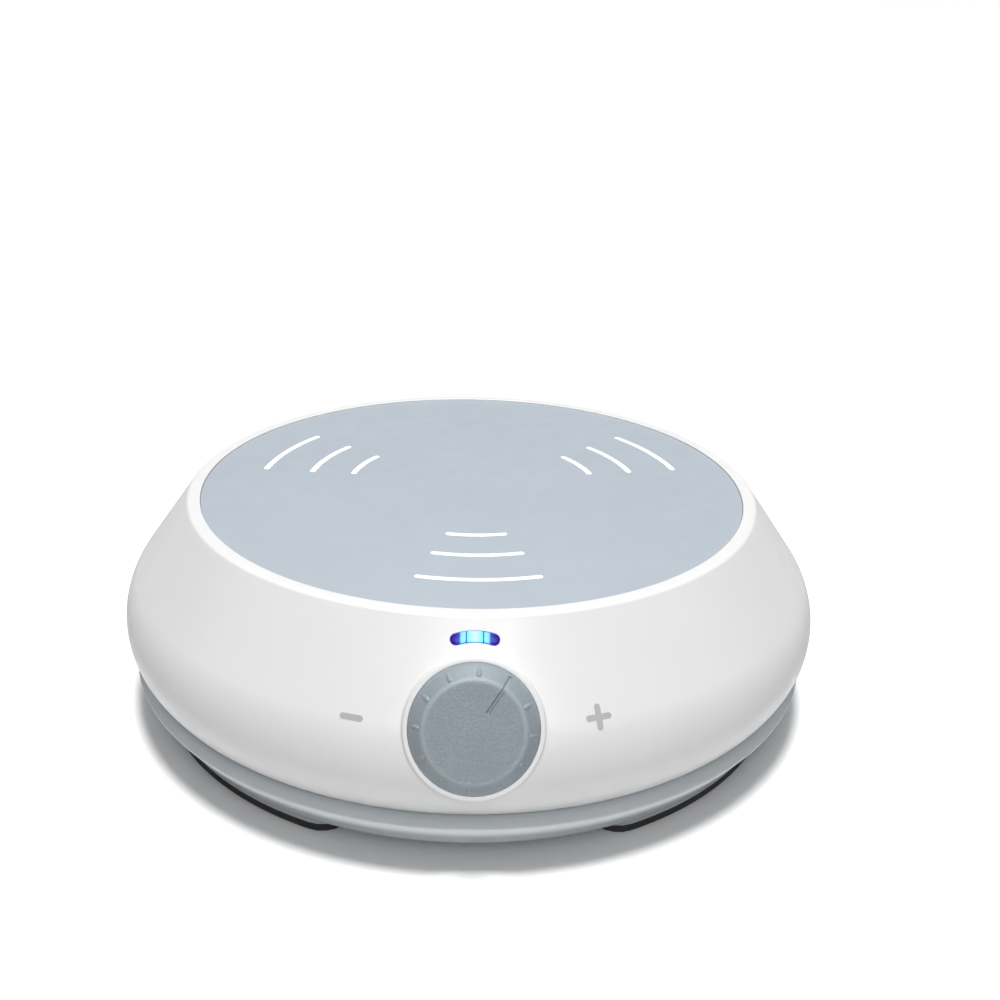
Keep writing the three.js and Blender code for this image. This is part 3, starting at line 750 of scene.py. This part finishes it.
def flank_mark(name, azimuth, z, length, arms):
    """A mark printed on the flank: its outline is wrapped round the body."""
    bm = bmesh.new()
    loops = []
    for lift in MARK_LIFTS:
        ring = []
        for x, y in cross_outline(length, MARK_STROKE, arms):
            height = z + y * math.cos(FLANK_TILT)
            turn = math.degrees(x / body_radius(height))
            ring.append(flank_frame(azimuth + turn, height) @ Vector((0, 0, lift)))
        loops.append(add_loop(bm, ring))
    bridge(bm, *loops)
    bm.faces.new(list(reversed(loops[0])))
    bm.faces.new(loops[1])
    mark = smooth(to_object(name, bm), 40)
    finish_piece(mark, "housing", finish("print_grey"), "print_grey")


# ---- Grey base tray, its feet and screws ---------------------------------------------------------


def screw_place(angle):
    return Matrix.Translation((*polar(SCREW_MID_R, angle), 0))


def tray_body():
    tongue_r = shell_curve(WALL, SEAM_Z, RIM_TOP, 6)[0][0] - TONGUE_GAP
    inner_r = tongue_r - TONGUE_T
    flange = SEAM_Z - 0.05
    profile = rounded([
        (0, TRAY_UNDER, 0),
        (TRAY_FOOT_R, TRAY_UNDER, TRAY_ROUND),
        (TRAY_EDGE_R, TRAY_UNDER + TRAY_EDGE_RISE, TRAY_ROUND),
        (TRAY_EDGE_R - TRAY_LIP, flange, 0),
        (tongue_r, flange, 0),
        (tongue_r, flange + TONGUE_RISE, 0),
        (inner_r, flange + TONGUE_RISE, 0),
        (inner_r, TRAY_FLOOR + FLOOR_CHAMFER, 0),
        (inner_r - FLOOR_CHAMFER, TRAY_FLOOR, 0),
        (0, TRAY_FLOOR, 0),
    ])
    tray = to_object("tray", lathe(profile, ROUND))
    bosses, seats, ways = [], [], []
    for i, angle in enumerate(FOOT_ANGLES):
        section = soft_section(BOSS_UNDER, TRAY_UNDER + 1, 0.15, 0)
        boss = bent_bar(FOOT_MID_R, FOOT_W, FOOT_HALF_ANGLE, angle, section)
        bosses.append(to_object(f"boss_{i}", boss))
        seat_section = [(0, 0), (0, PAD_TOP + 0.05)]
        seat = bent_bar(FOOT_MID_R, SPIGOT_W + 0.3, FOOT_HALF_ANGLE, angle, seat_section)
        seats.append(to_object(f"seat_{i}", seat))
        turret = rod(TURRET_R, TRAY_FLOOR - 1, TURRET_TOP, 40)
        bosses.append(to_object(f"turret_{i}", turret, screw_place(angle)))
        for radius, top in (HEAD_WAY, SHANK_WAY):
            ways.append(to_object(f"way_{i}_{top}", rod(radius, 0, top, 48), screw_place(angle)))
    combine(tray, bosses, "UNION")
    combine(tray, seats + ways, "DIFFERENCE")
    smooth(tray, 30, weighted=True)
    finish_piece(tray, "housing", finish("tray_grey"), "tray_grey", "base_tray")


def foot_pads():
    for i, angle in enumerate(FOOT_ANGLES):
        step = (FOOT_W - SPIGOT_W) / 2
        tread_top = BOSS_UNDER - 0.05
        section = [*soft_section(0, tread_top, 0.35, 0.1), (step, tread_top), (step, PAD_TOP)]
        bar = bent_bar(FOOT_MID_R, FOOT_W, FOOT_HALF_ANGLE, angle, section, 40)
        pad = smooth(to_object(f"rubber_foot_{i + 1}", bar), 40)
        finish_piece(pad, "housing", finish("foot_rubber"), "foot_rubber", f"foot_pad_{i + 1}")


def base_screws():
    """Pan-head screws with a cross recess, seen in the tray's underside."""
    head_top = SCREW_UNDER + SCREW_HEAD_H
    profile = rounded([
        (0, SCREW_UNDER, 0),
        (SCREW_HEAD_R, SCREW_UNDER, 0.9),
        (SCREW_HEAD_R, head_top, 0),
        (SCREW_SHANK_R, head_top, 0.2),
        (SCREW_SHANK_R, SCREW_TOP - SCREW_TIP, 0.3),
        (0, SCREW_TOP, 0),
    ])
    for i, angle in enumerate(FOOT_ANGLES):
        screw = to_object(f"pan_screw_{i + 1}", lathe(profile, 48), screw_place(angle))
        bars = []
        for size in ((RECESS_LENGTH, RECESS_WIDTH), (RECESS_WIDTH, RECESS_LENGTH)):
            bar = bmesh.new()
            bmesh.ops.create_cube(bar, size=1)
            bar.transform(Matrix.Translation((0, 0, SCREW_UNDER)) @ Matrix.Diagonal((*size, RECESS_H, 1)))
            bars.append(to_object("recess", bar, screw_place(angle)))
        combine(screw, bars, "DIFFERENCE")
        smooth(screw, 30)
        finish_piece(screw, "housing", finish("steel"), "steel", f"base_screw_{i + 1}")


# ---- Speed knob ----------------------------------------------------------------------------------


BUMP_CENTRE = 10.3  # distance of a bump's round end from the knob's axis
BUMP_END = 11.5
BUMP_HALF_WIDTH = 0.5
BUMP_HEIGHT = 0.5
GROOVE_START = 4.3
GROOVE_END = 11.3
GROOVE_HALF_WIDTH = 0.28
GROOVE_DEPTH = 0.6
GROOVE_WALL = 0.24  # width of the groove's slanted wall
BEVEL_BLEND = 0.16  # share of the bevel over which its start is rounded
KNOB_SEGMENTS = 540
KNOB_RINGS = 90
EDGE_ROUND = 0.25


def ease(t):
    t = min(max(t, 0), 1)
    return t * t * (3 - 2 * t)


def knob_bump(radius, angle):
    """Height of the small drops on the bevel: round towards the middle, thin towards the edge."""
    nearest = round((angle - POINTER_ANGLE) / BUMP_STEP)
    if nearest % 12 == 0:
        return 0.0
    across = radius * math.sin(angle - POINTER_ANGLE - nearest * BUMP_STEP)
    if radius < BUMP_CENTRE:
        along = (BUMP_CENTRE - radius) / BUMP_HALF_WIDTH
        half = BUMP_HALF_WIDTH * math.sqrt(max(1 - along ** 2, 0))
    else:
        along = (radius - BUMP_CENTRE) / (BUMP_END - BUMP_CENTRE)
        half = BUMP_HALF_WIDTH * max(1 - along, 0) ** 0.6
    if abs(across) >= half:
        return 0.0
    return BUMP_HEIGHT * (1 - (across / half) ** 2) * (1 - along ** 2)


def knob_groove(radius, angle):
    """Depth of the pointer groove, which runs from the face out over the bevel."""
    along = radius * math.cos(angle - POINTER_ANGLE)
    across = abs(radius * math.sin(angle - POINTER_ANGLE))
    past_end = max(GROOVE_START - along, along - GROOVE_END, 0)
    distance = math.hypot(across, past_end)
    return GROOVE_DEPTH * ease((GROOVE_HALF_WIDTH + GROOVE_WALL / 2 - distance) / GROOVE_WALL)


def knob_height(radius, angle):
    """Height of the knob's top over the collar's plane; the angle is clockwise from the top."""
    slope = (radius - KNOB_FACE_R) / (KNOB_EDGE_R - KNOB_FACE_R)
    bevel = (KNOB_RISE - KNOB_EDGE_Z) * soft_ramp(slope, BEVEL_BLEND)
    return KNOB_RISE - bevel + knob_bump(radius, angle) - knob_groove(radius, angle)


def soft_ramp(t, blend):
    """A ramp from 0 at t = 0 to 1 at t = 1 whose start is rounded over the blend on either side."""
    if t <= -blend:
        return 0.0
    if t >= blend:
        return min(t, 1)
    return (t + blend) ** 2 / (4 * blend)


def painted_edge_highlight(past_face):
    """Strength of the painted highlight, from the distance outside the edge of the knob's face: a band round the
    face's edge and a weaker share over the bevel.
    """
    return max(ease(1 - abs(past_face) / 0.9), 0.4 * ease(past_face / 0.5))


def knob_cap():
    top_edge = KNOB_EDGE_R - EDGE_ROUND / 2
    radii = [top_edge * k / KNOB_RINGS for k in range(1, KNOB_RINGS + 1)]
    angles = [2 * math.pi * i / KNOB_SEGMENTS for i in range(KNOB_SEGMENTS)]
    bm = bmesh.new()
    loops = [add_loop(bm, [(0, 0, KNOB_RISE)])]
    for radius in radii:
        ring = [(radius * math.sin(a), radius * math.cos(a), knob_height(radius, a)) for a in angles]
        loops.append(add_loop(bm, ring))
    side = rounded([
        (top_edge - 0.1, KNOB_EDGE_Z + 0.35, 0),
        (KNOB_EDGE_R, KNOB_EDGE_Z, EDGE_ROUND),
        (KNOB_R, COLLAR_TOP, 0.6),
        (KNOB_R, KNOB_UNDER, 0.2),
        (KNOB_INNER_R, KNOB_UNDER, 0),
        (KNOB_INNER_R, 2.2, 0),
        (KNOB_HUB_R, 2.6, 0),
        (KNOB_HUB_R, KNOB_HUB_UNDER, 0),
        (KNOB_BORE_R, KNOB_HUB_UNDER, 0),
        (KNOB_BORE_R, KNOB_BORE_TOP, 0),
    ])[1:]
    for radius, z in side:
        loops.append(add_loop(bm, [(radius * math.sin(a), radius * math.cos(a), z) for a in angles]))
    loops.append(add_loop(bm, [(0, 0, KNOB_BORE_TOP)]))
    rings_between(bm, loops)
    cap = to_object("knob_cap", bm, KNOB_FRAME)
    # The edge value carries the painted highlight on the face's edge and bevel.
    point_values(cap, KNOB_FRAME, edge=lambda p: painted_edge_highlight(math.hypot(p.x, p.y) - KNOB_FACE_R))
    smooth(cap, 50)
    finish_piece(cap, "speed_knob", finish("knob_grey"), "knob_grey", "knob")


# ---- Lit window ----------------------------------------------------------------------------------


def window_lens():
    half, lip, steps = WINDOW_W / 2, 0.02, 8
    quarter = [math.pi / 2 * k / steps for k in range(1, steps + 1)]
    over = [((half - lip) * (1 - math.cos(a)), lip + WINDOW_DOME * math.sin(a)) for a in quarter]
    section = [(0, -WINDOW_DEPTH), (0, lip), *over]
    bm = bent_bar(WINDOW_MID_R, WINDOW_W, WINDOW_HALF_ANGLE, math.pi / 2, section, 64)
    lens = to_object("window_lens", bm, WINDOW_FRAME)
    reach = WINDOW_MID_R * math.sin(WINDOW_HALF_ANGLE) + half
    point_values(lens, WINDOW_FRAME, along=lambda p: abs(p.x) / reach, rim=lambda p: from_middle(p) / half)
    smooth(lens, 50)
    finish_piece(lens, "housing", finish("light_pipe"), "light_pipe", "led_window")


def from_middle(point):
    """Distance of a point from the arc that runs along the middle of the lit window."""
    turn = math.atan2(point.x, point.y)
    turn = max(-WINDOW_HALF_ANGLE, min(WINDOW_HALF_ANGLE, turn))
    across = point.x - WINDOW_MID_R * math.sin(turn)
    outwards = point.y - WINDOW_MID_R * math.cos(turn)
    return math.hypot(across, outwards)


# ---- Floor, light and camera ---------------------------------------------------------------------

CAMERA_AT = (0.0, -259.3, 106.0)
CAMERA_PITCH = math.radians(22.99)
CAMERA_YAW = math.radians(1.40)
CAMERA_ROLL = math.radians(1.63)
CAMERA_TURN = math.radians(-0.71)  # the object stands turned by this much in front of the camera
LENS_MM = 43.16
SENSOR_MM = 36.0
HORIZON_LIGHT = 0.06
ZENITH_LIGHT = 0.3
OVERHEAD_LIGHT = 0.76
OVERHEAD_ANGLE = 9  # degrees across; how soft the shadow's edge is
UNDERSIDE_FILL = 0.12
UNDERSIDE_ANGLE = 30
FRONT_FILL = 1.5
FORM_FILL = 2.7
BACK_SOFT_BOX = 5.2
FLOOR_REACH = 60000
FLOOR_NEAR = 900  # the floor starts to fade into the white background here, and has faded at FLOOR_FAR
FLOOR_FAR = 3000
FLOOR_GLOW_NEAR = 0.02
FLOOR_GLOW_FAR = 0.6
CARD_INNER_R = 100
CARD_OUTER_R = 700
CARD_Z = 0.5
CARD_TONE = (0.42, 0.42, 0.42)
MATT = {"Roughness": 0.9, "Specular_IOR_Level": 0.0}


def floor():
    """A pale bench that fades to white far away and that the camera can look up through."""
    bm = bmesh.new()
    bmesh.ops.create_grid(bm, x_segments=2, y_segments=2, size=FLOOR_REACH)
    ground = to_object("floor", bm)
    n = Nodes("floor")
    n.paint(n.mix(n.spread(n.noise(80), 0, 1), (0.97, 0.97, 0.97), (0.955, 0.955, 0.955)))
    place = n.add("ShaderNodeNewGeometry")
    reach = n.add("ShaderNodeVectorMath", operation="LENGTH")
    n.link(place.outputs["Position"], reach.inputs[0])
    glow = n.spread(reach.outputs["Value"], FLOOR_GLOW_NEAR, FLOOR_GLOW_FAR, FLOOR_NEAR * MM, FLOOR_FAR * MM)
    n.link(glow, n.shader.inputs["Emission Strength"])
    n.set(Emission_Color=(1, 1, 1, 1), **MATT)
    below = n.add("ShaderNodeMath", operation="MULTIPLY")
    n.link(place.outputs["Backfacing"], below.inputs[0])
    n.link(n.add("ShaderNodeLightPath").outputs["Is Camera Ray"], below.inputs[1])
    either = n.add("ShaderNodeMixShader")
    n.link(below.outputs["Value"], either.inputs["Fac"])
    n.link(n.shader.outputs["BSDF"], either.inputs[1])
    n.link(n.add("ShaderNodeBsdfTransparent").outputs["BSDF"], either.inputs[2])
    n.link(either.outputs["Shader"], n.tree.nodes["Material Output"].inputs["Surface"])
    ground.data.materials.append(n.material)


def dark_card():
    """A ring of dark card on the bench that only keeps its bounced light off the object's sides."""
    top = CARD_Z + 1
    ring = [(CARD_INNER_R, CARD_Z), (CARD_OUTER_R, CARD_Z), (CARD_OUTER_R, top), (CARD_INNER_R, top)]
    card = to_object("dark_card", lathe(ring, 96))
    n = Nodes("dark_card")
    n.paint(n.mix(n.spread(n.noise(40), 0, 1), CARD_TONE, shaded(CARD_TONE, 0.95)))
    n.set(**MATT)
    card.data.materials.append(n.material)
    card.visible_camera = False
    card.visible_shadow = False


def hang(name, light, place=(0, 0, 0), turn=(0, 0, 0)):
    lamp = bpy.data.objects.new(name, light)
    lamp.location = Vector(place) * MM
    lamp.rotation_euler = turn
    bpy.context.scene.collection.objects.link(lamp)
    return lamp


def soft_light(name, place, size, power):
    """A round soft light that points at the middle of the plate."""
    light = bpy.data.lights.new(name, "AREA")
    light.shape = "DISK"
    light.size = size * MM
    light.energy = power
    return hang(name, light, place, (-Vector(place)).to_track_quat("-Z", "Y").to_euler())


def sun(name, angle_deg, irradiance, tilt):
    light = bpy.data.lights.new(name, "SUN")
    light.angle = math.radians(angle_deg)
    light.energy = irradiance * math.pi
    return hang(name, light, turn=(tilt, 0, 0))


def studio_world():
    """Soft light that is strongest overhead; the camera itself sees plain white behind the floor."""
    world = bpy.data.worlds.new("studio")
    world.use_nodes = True
    tree = world.node_tree
    sky = tree.nodes["Background"]
    position = tree.nodes.new("ShaderNodeTexCoord")
    split = tree.nodes.new("ShaderNodeSeparateXYZ")
    height = tree.nodes.new("ShaderNodeMapRange")
    height.inputs["From Min"].default_value = 0
    height.inputs["From Max"].default_value = 1
    height.inputs["To Min"].default_value = HORIZON_LIGHT
    height.inputs["To Max"].default_value = ZENITH_LIGHT
    white = tree.nodes.new("ShaderNodeBackground")
    rays = tree.nodes.new("ShaderNodeLightPath")
    either = tree.nodes.new("ShaderNodeMixShader")
    tree.links.new(position.outputs["Generated"], split.inputs["Vector"])
    tree.links.new(split.outputs["Z"], height.inputs["Value"])
    tree.links.new(height.outputs["Result"], sky.inputs["Strength"])
    for background in (sky, white):
        background.inputs["Color"].default_value = (1, 1, 1, 1)
    tree.links.new(rays.outputs["Is Camera Ray"], either.inputs["Fac"])
    tree.links.new(sky.outputs["Background"], either.inputs[1])
    tree.links.new(white.outputs["Background"], either.inputs[2])
    tree.links.new(either.outputs["Shader"], tree.nodes["World Output"].inputs["Surface"])
    bpy.context.scene.world = world


def light_group(name, state, pieces):
    """A collection for light linking in which each of the pieces is included or excluded."""
    group = bpy.data.collections.new(name)
    for piece in pieces:
        group.objects.link(bpy.data.objects[piece])
    for link in group.collection_objects:
        link.light_linking.link_state = state
    return group


def lights():
    studio_world()
    overhead = sun("overhead", OVERHEAD_ANGLE, OVERHEAD_LIGHT, math.radians(3))
    unshaded = light_group("overhead_passes", "EXCLUDE", ["knob_cap", "knob_collar"])
    overhead.light_linking.blocker_collection = unshaded
    beneath = sun("underside_fill", UNDERSIDE_ANGLE, UNDERSIDE_FILL, math.pi)
    numbered = [f"{name}_{i}" for name in ("rubber_foot", "pan_screw") for i in (1, 2, 3, 4)]
    beneath.light_linking.receiver_collection = light_group("underside", "INCLUDE", ["tray", *numbered])
    beneath.light_linking.blocker_collection = light_group("fill_passes", "EXCLUDE", ["floor"])
    soft_light("front_fill", (40, -760, 600), 600, FRONT_FILL)
    form_fill = soft_light("form_fill", (40, -760, 500), 300, FORM_FILL)
    unlit = light_group("form_fill_skips", "EXCLUDE", ["stir_plate_disc", "floor"])
    form_fill.light_linking.receiver_collection = unlit
    soft_light("back_soft_box", (0, 420, 905), 600, BACK_SOFT_BOX)
    bpy.context.scene.view_settings.view_transform = "Standard"


def camera():
    data = bpy.data.cameras.new("camera")
    data.lens = LENS_MM
    data.sensor_width = SENSOR_MM
    data.clip_start = 0.005
    level = math.cos(CAMERA_PITCH)
    view = Vector((math.sin(CAMERA_YAW) * level, math.cos(CAMERA_YAW) * level, -math.sin(CAMERA_PITCH)))
    level_right = Vector((math.cos(CAMERA_YAW), -math.sin(CAMERA_YAW), 0))
    level_up = level_right.cross(view)
    right = level_right * math.cos(CAMERA_ROLL) + level_up * math.sin(CAMERA_ROLL)
    up = level_up * math.cos(CAMERA_ROLL) - level_right * math.sin(CAMERA_ROLL)
    eye = bpy.data.objects.new("camera", data)
    turned = Matrix.Rotation(CAMERA_TURN, 4, "Z")
    eye.matrix_world = turned @ frame_matrix(right, up, -view, Vector(CAMERA_AT) * MM)
    bpy.context.scene.collection.objects.link(eye)
    bpy.context.scene.camera = eye


# ---- Build ---------------------------------------------------------------------------------------

paint_cad_nodes()
shell_body()
collar()
stir_plate()
flank_mark("minus_mark", **MINUS, arms=2)
flank_mark("plus_mark", **PLUS, arms=4)
tray_body()
foot_pads()
base_screws()
knob_cap()
window_lens()
floor()
dark_card()
lights()
camera()
